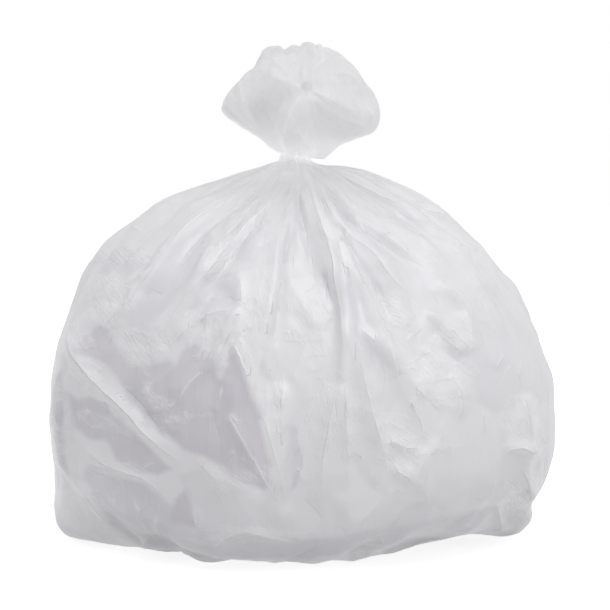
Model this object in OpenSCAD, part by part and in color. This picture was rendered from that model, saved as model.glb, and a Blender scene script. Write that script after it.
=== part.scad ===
// Filled bin bag of thin white film, standing on its sole with the neck tied in its own film.
// It is one closed skin: a flat sole, a full body lumpy with what it holds, the gathers and
// folds that run down from the tied neck, and the loose end puffed out above the tie with its
// ragged mouth.

/* [Empty bag] */
// Width of the empty bag laid flat, which is half the film round it
flat_w = 680; // [660:5:740]
// Main folds that the neck gathers the film into
fold_count = 24; // [16:1:26]

/* [Filled body] */
// Width at the belly, left to right
body_w = 434; // [400:2:450]
// Depth at the belly, front to back
body_d = 384; // [340:2:420]
// Height of the belly, the widest ring, above the floor
belly_h = 112; // [90:2:140]
// Height of the shoulder where it meets the tied neck
neck_h = 324; // [290:2:360]
// Width of the flat sole, left to right
sole_w = 238; // [200:2:290]
// Depth of the flat sole, front to back
sole_d = 198; // [170:2:250]
// How far the two bottom corners of the flat bag poke out
corner_out = 26; // [10:1:34]
// How far the biggest lump of the contents stands out
lump_out = 11; // [4:0.5:14]

/* [Tied neck] */
// Radius of the gathered film in the tie
neck_r = 13; // [10:0.5:15]
// Height of the tie
tie_h = 8; // [8:1:20]
// How far the turn of film in the tie stands out
tie_out = 4; // [2:0.5:6]
// Slope of the tie, up to the left, in degrees
tie_slope = 16; // [0:1:20]

/* [Loose end] */
// Width of the puffed end, left to right
puff_w = 134; // [110:2:150]
// Depth of the puffed end, front to back
puff_d = 114; // [100:2:128]
// Height of the puffed end above the tie
puff_h = 92; // [80:2:110]
// Height of its widest ring above the tie
puff_belly_h = 44; // [38:1:54]
// Lean of the puffed end, down to the right, in degrees
puff_lean = 1; // [0:1:10]
// How far the creases and lobes of the puffed end stand out
puff_out = 8; // [3:0.5:9]
// Width of the gathered mouth on top
mouth_w = 54; // [40:1:64]
// How far the ragged corners of the mouth stand up
mouth_up = 10; // [3:0.5:12]

/* [Hidden] */

film_white = [0.93, 0.93, 0.95];

// The skin is a net of columns, which follow the folds, and rings. A ring's place is its
// station: 0 at the edge of the sole, 1 at the belly, 2 at the shoulder, 3 on top of the tie,
// 4 at the widest ring of the loose end and 5 at the gathered mouth.
columns_per_fold = 6;
columns = fold_count * columns_per_fold;
// The rings of the shoulder draw closer together towards the neck by this power
ring_crowding = 1.4;
stations = [
    for (i = [0 : 8]) i / 9,
    for (i = [0 : 13]) 2 - pow(1 - i / 14, ring_crowding),
    for (i = [0 : 4]) 2 + i / 5,
    for (i = [0 : 5]) 3 + i / 6,
    for (i = [0 : 5]) 4 + i / 6,
    5
];

film_round = 2 * flat_w;
// The mouth is as flat in plan as the puffed end
mouth_d = mouth_w * puff_d / puff_w;
// Rise of the film to the tie, and how quickly it falls away round it
funnel_h = 5;
funnel_r = 16;
// Share of the spare film that the main folds take up; fine creases take the rest
fold_share = 0.36;
// A fold stands no higher than this share of the ring's radius
fold_limit = 0.18;
// Folds lie this many spacings either way from an even round
fold_jitter = 0.22;
fold_seed = 23;
jitter = rands(-fold_jitter, fold_jitter, fold_count, fold_seed);
// Each fold's height, as a share of the full one
seeded_size = rands(0.5, 1.3, fold_count, fold_seed + 1);
// Every third fold runs on down the body; the others die out on the shoulder. Each one gathers
// height this much faster than it would if it had its full height only at the neck.
fold_haste = 1.4;
long_end = rands(0.2, 0.8, fold_count, fold_seed + 2);
short_end = rands(1.15, 1.6, fold_count, fold_seed + 3);
seeded_end = [for (k = [0 : fold_count - 1]) k % 3 == 0 ? long_end[k] : short_end[k]];
// The main folds of the front, which take the place of the seeded ones nearest to them but come
// no closer to their neighbours than the limit, in spacings: azimuth at the neck, share of the
// full height and end station
front_limit = 0.3;
front_folds = [
    [-117.5, 1.0, 0.95],
    [-105.5, 1.2, 0.8],
    [-91.5, 1.0, 0.85],
    [-75, 1.3, 0.7],
    [-63.5, 1.2, 0.7],
    [-50.5, 1.0, 1.05]
];
fold_spacing = 360 / fold_count;
front_fold = [
    for (k = [0 : fold_count - 1])
        [for (f = front_folds) if (abs(turn(f[0] - fold_spacing * k)) <= fold_spacing / 2) f]
];
function from_front(k) = len(front_fold[k]) > 0;
function front_place(k) =
    let (place = turn(front_fold[k][0][0] - fold_spacing * k) / fold_spacing)
    min(max(place, -front_limit), front_limit);
fold_place = [for (k = [0 : fold_count - 1]) from_front(k) ? front_place(k) : jitter[k]];
fold_size = [for (k = [0 : fold_count - 1]) from_front(k) ? front_fold[k][0][1] : seeded_size[k]];
fold_end = [for (k = [0 : fold_count - 1]) from_front(k) ? front_fold[k][0][2] : seeded_end[k]];
// Degrees that the folds swing sideways on the way down: all together, and each on its own
fold_swing = 9;
swing_phase = 40;
fold_drift = rands(-2, 2, fold_count, fold_seed + 4);
// Stations where the gathers of the tie open out into the loose end, and where those of its
// mouth begin, which are smaller
tie_gather_end = 3.6;
mouth_gather = 4.5;
mouth_gather_share = 0.5;
// Power of the curve between two crests: less makes the crests sharper and the valleys wider
valley_power = 0.8;
// Turn of the gathered film as it passes through the tie, in degrees, and the stations between
// which it turns
tie_twist = 30;
twist_from = 1.7;
twist_to = 3.5;
// Round the tie the folds stand out level, from the first of these stations to the last
level_from = 1.8;
level_full = 1.98;
level_until = 3;
level_to = 3.4;

// How square the forms are, as superellipse powers: 1 is a diamond, 2 an ellipse, more is squarer
sole_plan_power = 1.7;
plan_power = 2.2;
sole_power = 2.8;
shoulder_power = 1.95;
puff_under_power = 1.2;
puff_top_power = 1.5;

// Lumps of the contents: azimuth, station, spread in degrees, spread in stations, share of lump_out
lumps = [
    [-176, 0.48, 24, 0.22, 1.20],
    [-178, 1.45, 22, 0.20, 0.20],
    [-150, 1.20, 18, 0.22, 0.50],
    [-132, 0.85, 20, 0.30, -0.70],
    [-112, 0.50, 18, 0.34, 0.80],
    [-98, 1.15, 12, 0.30, 0.50],
    [-84, 0.70, 10, 0.40, -0.55],
    [-68, 0.80, 14, 0.34, 0.75],
    [-52, 0.45, 18, 0.24, -0.60],
    [-36, 1.00, 20, 0.30, 0.80],
    [-10, 1.35, 20, 0.22, -0.60],
    [4, 1.15, 22, 0.30, 0.50],
    [4, 0.60, 22, 0.20, -0.70],
    [32, 0.50, 20, 0.30, 0.90],
    [44, 1.25, 20, 0.24, 0.60],
    [66, 0.95, 18, 0.30, -0.80],
    [88, 0.60, 22, 0.36, 1.00],
    [96, 1.35, 18, 0.22, 0.50],
    [122, 1.00, 18, 0.30, -0.60],
    [142, 0.60, 20, 0.34, 0.90],
    [164, 1.15, 20, 0.26, 0.70]
];
// The two bottom corners of the flat bag poke out just above the floor: azimuth, station,
// spread in degrees, spread in stations, share of corner_out
corners = [
    [-176, 0.37, 10, 0.15, 0.90],
    [-6, 0.36, 10, 0.17, 1.00]
];
// Long slack creases across the body, a ridge or a groove: azimuth and station of each end,
// and share of lump_out
creases = [
    [-172, 1.15, -118, 0.42, 1.00],
    [-150, 0.62, -98, 0.14, -0.60],
    [-126, 1.60, -160, 1.00, 0.80],
    [-108, 1.80, -136, 0.95, 0.80],
    [-98, 1.90, -102, 0.45, 0.80],
    [-91, 1.85, -91, 0.60, -0.70],
    [-83, 1.90, -77, 0.25, 0.90],
    [-72, 1.80, -62, 0.75, 0.80],
    [-62, 1.70, -28, 0.95, 0.90],
    [-44, 1.65, -18, 1.20, 0.60],
    [-74, 0.40, -40, 0.16, -0.70],
    [-56, 0.85, -14, 0.45, -0.80],
    [-26, 1.20, -4, 0.40, 0.60],
    [10, 1.45, 52, 0.60, 0.70],
    [22, 0.35, 62, 0.70, -0.60],
    [60, 1.30, 84, 0.40, 0.80],
    [78, 0.25, 116, 0.55, -0.60],
    [92, 1.45, 134, 0.80, 0.70],
    [126, 1.30, 170, 0.45, 0.80],
    [140, 0.25, 176, 0.60, -0.50]
];
crease_width = 5.5;
// Lobes of the loose end, laid out as the lumps are: shares of puff_out
lobes = [
    [180, 3.45, 30, 0.20, -1.00],
    [-176, 3.98, 22, 0.25, 0.70],
    [-122, 3.70, 20, 0.30, -0.70],
    [-92, 3.60, 16, 0.30, 0.80],
    [-60, 4.40, 22, 0.30, 0.60],
    [-10, 3.55, 26, 0.22, 1.10],
    [42, 3.90, 24, 0.35, -0.70],
    [86, 3.70, 24, 0.40, 0.80],
    [136, 3.90, 24, 0.40, -0.60]
];
// Creases of the loose end: most run together on its front, below the mouth
puff_creases = [
    [-86, 4.45, -30, 3.65, 1.50],
    [-86, 4.45, -114, 3.15, 1.10],
    [-84, 4.40, -62, 3.15, -1.00],
    [-92, 4.45, -152, 4.00, 1.20],
    [-94, 4.40, -130, 3.55, -1.00],
    [-78, 4.45, -18, 4.25, -0.90],
    [-96, 4.50, -140, 4.65, 0.80],
    [30, 3.20, 12, 4.50, 0.90],
    [60, 3.15, 92, 4.60, 1.00],
    [78, 3.90, 40, 4.70, -0.70],
    [120, 3.20, 108, 4.65, -0.90],
    [150, 3.25, 172, 4.55, 1.00]
];
puff_crease_width = 10;
// Ragged corners of the mouth: azimuth, spread in degrees, share of mouth_up
mouth_corners = [
    [-168, 26, 0.70],
    [-112, 22, -0.60],
    [-80, 20, 1.00],
    [-38, 20, -0.20],
    [-8, 22, 0.55],
    [46, 30, -0.60],
    [98, 26, 0.80],
    [142, 24, -0.50]
];
// Depth of the dip in the mouth, as a share of its width
mouth_dip = 0.3;
// Degrees round the bag that count as one station along it
station_degrees = 60;

function smooth(t) = let (c = min(max(t, 0), 1)) c * c * (3 - 2 * c);
function blend(a, b, t) = a + (b - a) * t;
function power(x, n) = sign(x) * pow(abs(x), n);
function apart(a, b) = let (d = abs(a - b) % 360) min(d, 360 - d);
function turn(a) = a - 360 * round(a / 360);
function total(list) = list * [for (v = list) 1];

// Half width, half depth and height of the smooth form at a station
function sole_ring(s) =
    let (out = power(sin(90 * s), 2 / sole_power), up = 1 - power(cos(90 * s), 2 / sole_power))
    [blend(sole_w / 2, body_w / 2, out), blend(sole_d / 2, body_d / 2, out), belly_h * up];
// The shoulder is a dome whose middle rises like a funnel turned over to meet the tie
function shoulder_ring(s) =
    let (
        out = power(cos(90 * s), 2 / shoulder_power),
        up = power(sin(90 * s), 2 / shoulder_power),
        r = blend(neck_r, body_w / 2, out),
        funnel = funnel_h * exp((neck_r - r) / funnel_r)
    )
    [r, blend(neck_r, body_d / 2, out), blend(belly_h, neck_h - funnel_h, up) + funnel];
function tie_ring(s) =
    let (r = neck_r + tie_out * pow(sin(180 * s), 2))
    [r, r, neck_h + tie_h * s];
function puff_under_ring(s) =
    let (out = power(sin(90 * s), 2 / puff_under_power), up = 1 - power(cos(90 * s), 2 / puff_under_power))
    [blend(neck_r, puff_w / 2, out), blend(neck_r, puff_d / 2, out), neck_h + tie_h + puff_belly_h * up];
function puff_top_ring(s) =
    let (out = power(cos(90 * s), 2 / puff_top_power), up = power(sin(90 * s), 2 / puff_top_power))
    [blend(mouth_w / 2, puff_w / 2, out), blend(mouth_d / 2, puff_d / 2, out),
     neck_h + tie_h + blend(puff_belly_h, puff_h, up)];
function ring(s) =
    s < 1 ? sole_ring(s) :
    s < 2 ? shoulder_ring(s - 1) :
    s < 3 ? tie_ring(s - 2) :
    s < 4 ? puff_under_ring(s - 3) :
    puff_top_ring(s - 4);

// What is left, above the tie, of the tie's slope and of its level folds
function above_tie_fade(s) = smooth((level_to - s) / (level_to - level_until));

// The loose end leans about the middle of the tie, and the tie slopes
function lean(p, s) =
    let (
        a = puff_lean * smooth(s - 2),
        near = s < 2 ? exp((neck_r - ring(s)[0]) / funnel_r) : above_tie_fade(s),
        slope = -tan(tie_slope) * near,
        z0 = neck_h + tie_h / 2,
        z = p[2] - z0 + slope * p[0]
    )
    [p[0] * cos(a) + z * sin(a), p[1], z0 + z * cos(a) - p[0] * sin(a)];

// A point of the smooth form. The sole is pointed left and right like a pillow, the belly a
// little square in plan, and the rest round.
function form(azimuth, s) =
    let (
        g = ring(s),
        n = 2 / (s < 1 ? blend(sole_plan_power, plan_power, smooth(s)) : blend(plan_power, 2, smooth(s - 1))),
        x = g[0] * power(cos(azimuth), n),
        y = g[1] * power(sin(azimuth), n)
    )
    lean([x, y, g[2]], s);

// Outward direction of the smooth form, and level round the tie
step_azimuth = 1.5;
step_station = 0.02;
function outward(azimuth, s) =
    let (
        round_way = form(azimuth + step_azimuth, s) - form(azimuth - step_azimuth, s),
        up_way = form(azimuth, min(s + step_station, 5)) - form(azimuth, max(s - step_station, 0)),
        n = cross(round_way, up_way),
        level = smooth((s - level_from) / (level_full - level_from)) * above_tie_fade(s),
        d = blend(n / norm(n), [cos(azimuth), sin(azimuth), 0], level)
    )
    d / norm(d);

// Ramanujan's length of an ellipse
function ellipse_round(a, b) = PI * (3 * (a + b) - sqrt((3 * a + b) * (a + 3 * b)));

// Height of a full fold: as many even zigzags as there are folds would take up the spare film
function fold_height(s) =
    let (
        g = ring(s),
        pitch = ellipse_round(g[0], g[1]) / fold_count,
        film = film_round / fold_count
    )
    min(fold_share * sqrt(max(film * film - pitch * pitch, 0)) / 2, fold_limit * min(g[0], g[1]));

// What one fold keeps of that height at a station, from full at the neck to nothing at its end
function fold_part(k, s) =
    fold_size[k] * (
        s < 2 ? smooth((s - fold_end[k]) / (2 - fold_end[k]) * fold_haste) :
        s < 3 ? 1 :
        smooth(tie_gather_end - s) + mouth_gather_share * smooth((s - mouth_gather) / (5 - mouth_gather))
    );

function fold_azimuth(k, s) =
    let (start = fold_spacing * (k + fold_place[k]))
    start + (fold_swing * sin(2 * start + swing_phase) + fold_drift[k]) * smooth(2 - s)
    + tie_twist * smooth((s - twist_from) / (twist_to - twist_from));

// Where a column lies between its fold and the next: 0 on a crest, 0.5 in the valley
function column_azimuth(column, s) =
    let (k = floor(column / columns_per_fold), next = (k + 1) % fold_count, t = column / columns_per_fold - k)
    blend(fold_azimuth(k, s), fold_azimuth(next, s) + (next == 0 ? 360 : 0), t);
function fold_out(column, s) =
    let (
        k = floor(column / columns_per_fold),
        next = (k + 1) % fold_count,
        t = column / columns_per_fold - k,
        crest = blend(fold_part(k, s), fold_part(next, s), t)
    )
    fold_height(s) * crest * (1 - 2 * pow(sin(180 * t), valley_power));

function lump_height(m, azimuth, s) =
    m[4] * exp(-pow(apart(azimuth, m[0]) / m[2], 2) - pow((s - m[1]) / m[3], 2));
// A crease is a rounded ridge, or a groove, that fades towards both its ends
function crease_height(c, azimuth, s, width) =
    let (
        p = [turn(azimuth - c[0]), (s - c[1]) * station_degrees],
        line = [c[2] - c[0], (c[3] - c[1]) * station_degrees],
        along = min(max(p * line / (line * line), 0), 1)
    )
    c[4] * sin(180 * along) * exp(-pow(norm(p - line * along) / width, 2));
// The body's lumps and creases fade to nothing at the sole and at the neck, and those of the
// loose end at the tie and at the mouth, over these many stations
sole_fade = 0.25;
neck_fade = 0.5;
tie_fade = 0.3;
mouth_fade = 0.2;
function body_out(azimuth, s) =
    lump_out * smooth(s / sole_fade) * smooth((2 - s) / neck_fade) * (
        total([for (m = lumps) lump_height(m, azimuth, s)])
        + total([for (c = creases) crease_height(c, azimuth, s, crease_width)])
    );
function loose_end_out(azimuth, s) =
    puff_out * smooth((s - 3) / tie_fade) * smooth((5 - s) / mouth_fade) * (
        total([for (m = lobes) lump_height(m, azimuth, s)])
        + total([for (c = puff_creases) crease_height(c, azimuth, s, puff_crease_width)])
    );
function corners_out(azimuth, s) =
    corner_out * total([for (m = corners) lump_height(m, azimuth, s)]);
function mouth_rise(azimuth, s) =
    mouth_up * smooth((s - mouth_gather) / (5 - mouth_gather)) * total([
        for (m = mouth_corners) m[2] * exp(-pow(apart(azimuth, m[0]) / m[1], 2))
    ]);

// A point of the real skin. Nothing of it lies below the floor.
function skin(column, s) =
    let (
        azimuth = column_azimuth(column, s),
        out = s == 0 ? 0 : fold_out(column, s) + (s < 2 ? body_out(azimuth, s) : loose_end_out(azimuth, s)),
        corner = s > 0 && s < 1 ? corners_out(azimuth, s) : 0,
        rise = s > mouth_gather ? mouth_rise(azimuth, s) : 0,
        p = form(azimuth, s) + out * outward(azimuth, s) + [corner * sign(cos(azimuth)), 0, rise]
    )
    [p[0], p[1], max(p[2], 0)];

module film_skin() {
    rings = len(stations);
    points = [for (s = stations) for (c = [0 : columns - 1]) skin(c, s)];
    mouth = lean([0, 0, neck_h + tie_h + puff_h - mouth_w * mouth_dip], 5);
    sole_face = [for (c = [0 : columns - 1]) c];
    side_faces = [
        for (i = [0 : rings - 2]) for (c = [0 : columns - 1])
            let (a = i * columns + c, b = i * columns + (c + 1) % columns)
            each [[a, a + columns, b + columns], [a, b + columns, b]]
    ];
    mouth_faces = [
        for (c = [0 : columns - 1])
            let (a = (rings - 1) * columns + c, b = (rings - 1) * columns + (c + 1) % columns)
            [a, rings * columns, b]
    ];
    polyhedron(concat(points, [mouth]), concat([sole_face], side_faces, mouth_faces), convexity = 8);
}

module tied_bag() {
    color(film_white) film_skin();
}

tied_bag();
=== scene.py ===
import math
import bpy
import numpy as np
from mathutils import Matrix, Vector
from mathutils.bvhtree import BVHTree
from mathutils.kdtree import KDTree


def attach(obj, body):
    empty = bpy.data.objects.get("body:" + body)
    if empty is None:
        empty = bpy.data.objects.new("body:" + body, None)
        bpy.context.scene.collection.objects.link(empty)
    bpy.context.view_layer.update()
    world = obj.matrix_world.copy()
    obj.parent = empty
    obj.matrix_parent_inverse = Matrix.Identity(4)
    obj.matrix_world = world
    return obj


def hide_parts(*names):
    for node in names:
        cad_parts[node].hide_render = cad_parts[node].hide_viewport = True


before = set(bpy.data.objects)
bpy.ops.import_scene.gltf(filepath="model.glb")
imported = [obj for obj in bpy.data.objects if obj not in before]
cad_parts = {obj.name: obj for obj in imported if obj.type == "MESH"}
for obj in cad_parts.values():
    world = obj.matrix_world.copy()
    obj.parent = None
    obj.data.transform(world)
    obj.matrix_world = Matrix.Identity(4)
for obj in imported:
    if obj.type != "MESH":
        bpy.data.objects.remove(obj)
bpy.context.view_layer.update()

mm = 0.001
rng = np.random.default_rng(7)  # every seeded crease comes from this

# Camera, as the photograph was taken: a little above the bag, square on to its front
shot = {
    "distance": 2.2,
    "elevation": 5.0,
    "aim": (4.4 * mm, 0.0, 205.5 * mm),
    "frameWidth": 534 * mm,
    "pixels": 610,
    "sensor": 36.0,
    "grazing": 0.12,  # film that faces the camera less than this takes no folds from pixels
}
rise = math.radians(shot["elevation"])
toCamera = np.array((0, -math.cos(rise), math.sin(rise)))
upInView = np.array((0, math.sin(rise), math.cos(rise)))


def addObject(name, data):
    made = bpy.data.objects.new(name, data)
    bpy.context.scene.collection.objects.link(made)
    return made


def addCamera():
    away = Vector(toCamera)
    data = bpy.data.cameras.new("camera")
    data.sensor_width = shot["sensor"]
    data.lens = shot["sensor"] * shot["distance"] / shot["frameWidth"]
    camera = addObject("camera", data)
    camera.location = Vector(shot["aim"]) + away * shot["distance"]
    camera.rotation_euler = (-away).to_track_quat("-Z", "Y").to_euler()
    bpy.context.scene.camera = camera


addCamera()
print("camera placed")


# Where points are seen, in pixels of the photograph's frame
def seenAt(points):
    rel = points - np.array(shot["aim"])
    depth = (rel @ -toCamera) / shot["distance"] + 1
    scale = shot["pixels"] / shot["frameWidth"]
    middle = shot["pixels"] / 2
    across = middle + rel[..., 0] / depth * scale
    return np.stack((across, middle - (rel @ upInView) / depth * scale), axis=-1)


# The place in the bag's middle plane that is seen at a pixel
def inMiddlePlane(x, y):
    scale = shot["frameWidth"] / shot["pixels"]
    middle = shot["pixels"] / 2
    high = (middle - y) * scale / math.cos(rise)
    return np.array((shot["aim"][0] + (x - middle) * scale, 0, shot["aim"][2] + high))


# Film as a net: rows run up the bag, columns round it
sheet = {
    "edgeGive": 0.5,  # share of a wrong length that a step puts right
    "diagonalGive": 0.1,
    "hold": 0.004,  # how strongly what is inside keeps the film in place
    "bend": 1 / 120,  # how stiff it is
    "crest": 1.8 * mm,  # rounding of a crease's top
    "creaseBlur": 0.5,
    "lineApart": 7 * mm,  # room between the crease lines that the finish draws
    "lineReach": 4 * mm,
}


def smoothStep(t):
    t = np.clip(t, 0, 1)
    return t * t * (3 - 2 * t)


def blur(values, rowReach, columnReach):
    for axis, reach in ((0, rowReach), (1, columnReach)):
        half = int(math.ceil(reach * 3))
        weights = np.exp(-0.5 * (np.arange(-half, half + 1) / reach) ** 2)
        weights /= weights.sum()
        pad = [(0, 0)] * values.ndim
        pad[axis] = (half, half)
        padded = np.pad(values, pad, mode="edge" if axis == 0 else "wrap")
        size = values.shape[axis]
        values = sum(w * np.take(padded, range(k, k + size), axis=axis) for k, w in enumerate(weights))
    return values


# Doubles the rows and columns, as a cubic B-spline would
def refine(net):
    ahead, behind = np.roll(net, -1, axis=1), np.roll(net, 1, axis=1)
    wide = np.empty((net.shape[0], net.shape[1] * 2) + net.shape[2:])
    wide[:, 0::2] = (ahead + 6 * net + behind) / 8
    wide[:, 1::2] = (net + ahead) / 2
    tall = np.empty((wide.shape[0] * 2 - 1,) + wide.shape[1:])
    tall[1::2] = (wide[:-1] + wide[1:]) / 2
    tall[0], tall[-1] = wide[0], wide[-1]
    tall[2:-1:2] = (wide[:-2] + 6 * wide[1:-1] + wide[2:]) / 8
    return tall


def outwardOf(net):
    roundWay = np.roll(net, -1, axis=1) - np.roll(net, 1, axis=1)
    normal = np.cross(roundWay, np.gradient(net, axis=0))
    return normal / np.maximum(np.linalg.norm(normal, axis=2, keepdims=True), 1e-12)


# How far up a net its points are, from nought to one
def upOf(net):
    rows, columns = net.shape[:2]
    return np.linspace(0, 1, rows)[:, None] * np.ones((1, columns))


# How far it is to the next column and the next row
def stepsOf(net):
    columnStep = np.linalg.norm(np.roll(net, -1, axis=1) - net, axis=2)
    return columnStep, np.linalg.norm(np.gradient(net, axis=0), axis=2)


# Smooth noise over a net, with a spread of one
def noiseNet(shape, rowReach, columnReach):
    values = blur(rng.standard_normal(shape), rowReach, columnReach)
    return values / values.std()


def noiseColumns(shape, rowReach, columnReach, count):
    return np.stack([noiseNet(shape, rowReach, columnReach).ravel() for k in range(count)], axis=1)


# Casts rays from a centre at the CAD solid, in rows evenly spaced along the skin, and gives the
# rays and how far each one goes. Columns stand closer at the front, where the bag is looked at most
def castNet(plan):
    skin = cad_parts["tied_bag"].data
    corners = [v.co for v in skin.vertices]
    tree = BVHTree.FromPolygons(corners, [p.vertices[:] for p in skin.polygons])
    centre = Vector(plan["centre"])

    def ray(azimuth, polar):
        level = math.sin(polar)
        return Vector((math.cos(azimuth) * level, math.sin(azimuth) * level, -math.cos(polar)))

    def reach(azimuth, polar):
        return tree.ray_cast(centre, ray(azimuth, polar))[3]

    turn = np.linspace(0, 2 * math.pi, plan["columns"], endpoint=False)
    azimuths = turn - plan["frontCrowding"] * np.cos(turn)
    trial = np.linspace(plan["fromPolar"], plan["toPolar"], plan["rows"] * 4)
    some = azimuths[::plan["columns"] // 10]
    lines = np.array([[ray(a, p) * reach(a, p) for p in trial] for a in some])
    steps = np.linalg.norm(np.diff(lines, axis=1), axis=2).mean(axis=0)
    run = np.concatenate(([0], np.cumsum(steps)))
    polars = np.interp(np.linspace(0, run[-1], plan["rows"]), run, trial)
    rays = np.array([[ray(a, p) for a in azimuths] for p in polars])
    reaches = np.array([[reach(a, p) for a in azimuths] for p in polars])
    return rays, reaches


# Brings each pair of neighbours, two views of one array, towards its rest length
def evenOut(near, far, rest):
    gap = far - near
    length = np.maximum(np.sqrt((gap * gap).sum(axis=-1)), 1e-9)
    push = gap * (sheet["edgeGive"] * (length - rest) / length)[..., None]
    near += push
    far -= push


def diagonalPush(gap, rest):
    length = np.maximum(np.linalg.norm(gap, axis=2), 1e-9)
    return gap * (sheet["diagonalGive"] * (1 - rest / length))[..., None]


def bowOf(values):
    bow = np.roll(values, -1, axis=1) + np.roll(values, 1, axis=1) - 2 * values
    bow[1:-1] += values[2:] + values[:-2] - 2 * values[1:-1]
    return bow


# Lets film that is longer than the space it has buckle into folds. growRound and growUp say how much
# longer it is, and limit how far it may move
def settleFilm(net, growRound, growUp, steps, limit):
    start = net.copy()
    out = outwardOf(start)
    ahead = np.roll(start, -1, axis=1)
    grown = 1 + (growRound[1:] + growUp[1:]) / 2
    restRound = np.linalg.norm(ahead - start, axis=2) * (1 + growRound)
    restUp = np.linalg.norm(start[1:] - start[:-1], axis=2) * (1 + (growUp[1:] + growUp[:-1]) / 2)
    restA = np.linalg.norm(ahead[1:] - start[:-1], axis=2) * grown
    restB = np.linalg.norm(ahead[:-1] - start[1:], axis=2) * grown
    fixed = start[[0, -1]].copy()
    for step in range(steps):
        for shift in (0, 1):
            turned = np.roll(net, -shift, axis=1)
            evenOut(turned[:, 0::2], turned[:, 1::2], np.roll(restRound, -shift, axis=1)[:, 0::2])
            net = np.roll(turned, shift, axis=1)
        for shift in (0, 1):
            evenOut(net[shift:-1:2], net[shift + 1::2], restUp[shift::2])
        ahead = np.roll(net, -1, axis=1)
        pushA = diagonalPush(ahead[1:] - net[:-1], restA)
        pushB = diagonalPush(ahead[:-1] - net[1:], restB)
        move = np.zeros_like(net)
        move[:-1] += pushA
        move[1:] += pushB
        pull = np.zeros_like(net)
        pull[1:] -= pushA
        pull[:-1] -= pushB
        moved = net + move + np.roll(pull, 1, axis=1) - start
        moved = moved * (1 - sheet["hold"]) - sheet["bend"] * bowOf(bowOf(moved))
        lifted = (moved * out).sum(axis=2, keepdims=True)
        moved += out * (np.clip(lifted, -limit, limit) - lifted)
        net = start + moved
        net[..., 2] = np.maximum(net[..., 2], 0)
        net[[0, -1]] = fixed
    return net


# Noise gives the film somewhere to buckle. Where calm is nought it stays as it is
def buckle(net, steps, noise, noiseReach, growRound, growUp, calm, limit):
    net = net + outwardOf(net) * (noiseNet(net.shape[:2], *noiseReach) * noise * mm * calm)[..., None]
    return settleFilm(net, growRound * calm, growUp * calm, steps, limit * mm)


# A mesh of the net's quads, closed by a fan to a middle point at either end
def filmObject(name, net, bottom, top):
    rows, columns = net.shape[:2]
    index = np.arange(rows * columns).reshape(rows, columns)
    ahead = np.roll(index, -1, axis=1)
    faces = np.stack((index[:-1], ahead[:-1], ahead[1:], index[1:]), axis=-1).reshape(-1, 4).tolist()
    points = net.reshape(-1, 3).tolist()
    for ring, middle, turned in ((0, bottom, False), (rows - 1, top, True)):
        points.append(middle)
        last = len(points) - 1
        for a, b in zip(index[ring].tolist(), ahead[ring].tolist()):
            faces.append((a, b, last) if turned else (b, a, last))
    mesh = bpy.data.meshes.new(name)
    mesh.from_pydata(points, [], faces)
    mesh.shade_smooth()
    piece = addObject(name, mesh)
    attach(piece, "root")
    return piece


# Finds the film of the front that is seen at a pixel
class FrontOfFilm:
    def __init__(self, net):
        self.points = net.reshape(-1, 3)[outwardOf(net).reshape(-1, 3) @ toCamera > shot["grazing"]]
        self.tree = KDTree(len(self.points))
        for k, (x, y) in enumerate(seenAt(self.points).tolist()):
            self.tree.insert((x, y, 0), k)
        self.tree.balance()

    def at(self, x, y):
        near = self.tree.find_n((x, y, 0), 4)
        weights = np.array([1 / (gap + 0.05) for spot, k, gap in near])
        return weights @ self.points[[k for spot, k, gap in near]] / weights.sum()


# A smooth curve through a few points, in short even steps
def curveThrough(points, pieces):
    points = np.array(points, dtype=float)
    padded = np.vstack((2 * points[0] - points[1], points, 2 * points[-1] - points[-2]))
    curve = []
    for k in range(len(points) - 1):
        a, b, c, d = padded[k:k + 4]
        for t in np.linspace(0, 1, pieces, endpoint=False):
            squared = (2 * a - 5 * b + 4 * c - d) * t ** 2
            cubed = (3 * b - a - 3 * c + d) * t ** 3
            curve.append((2 * b + (c - a) * t + squared + cubed) / 2)
    curve.append(points[-1])
    return np.array(curve)


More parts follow.
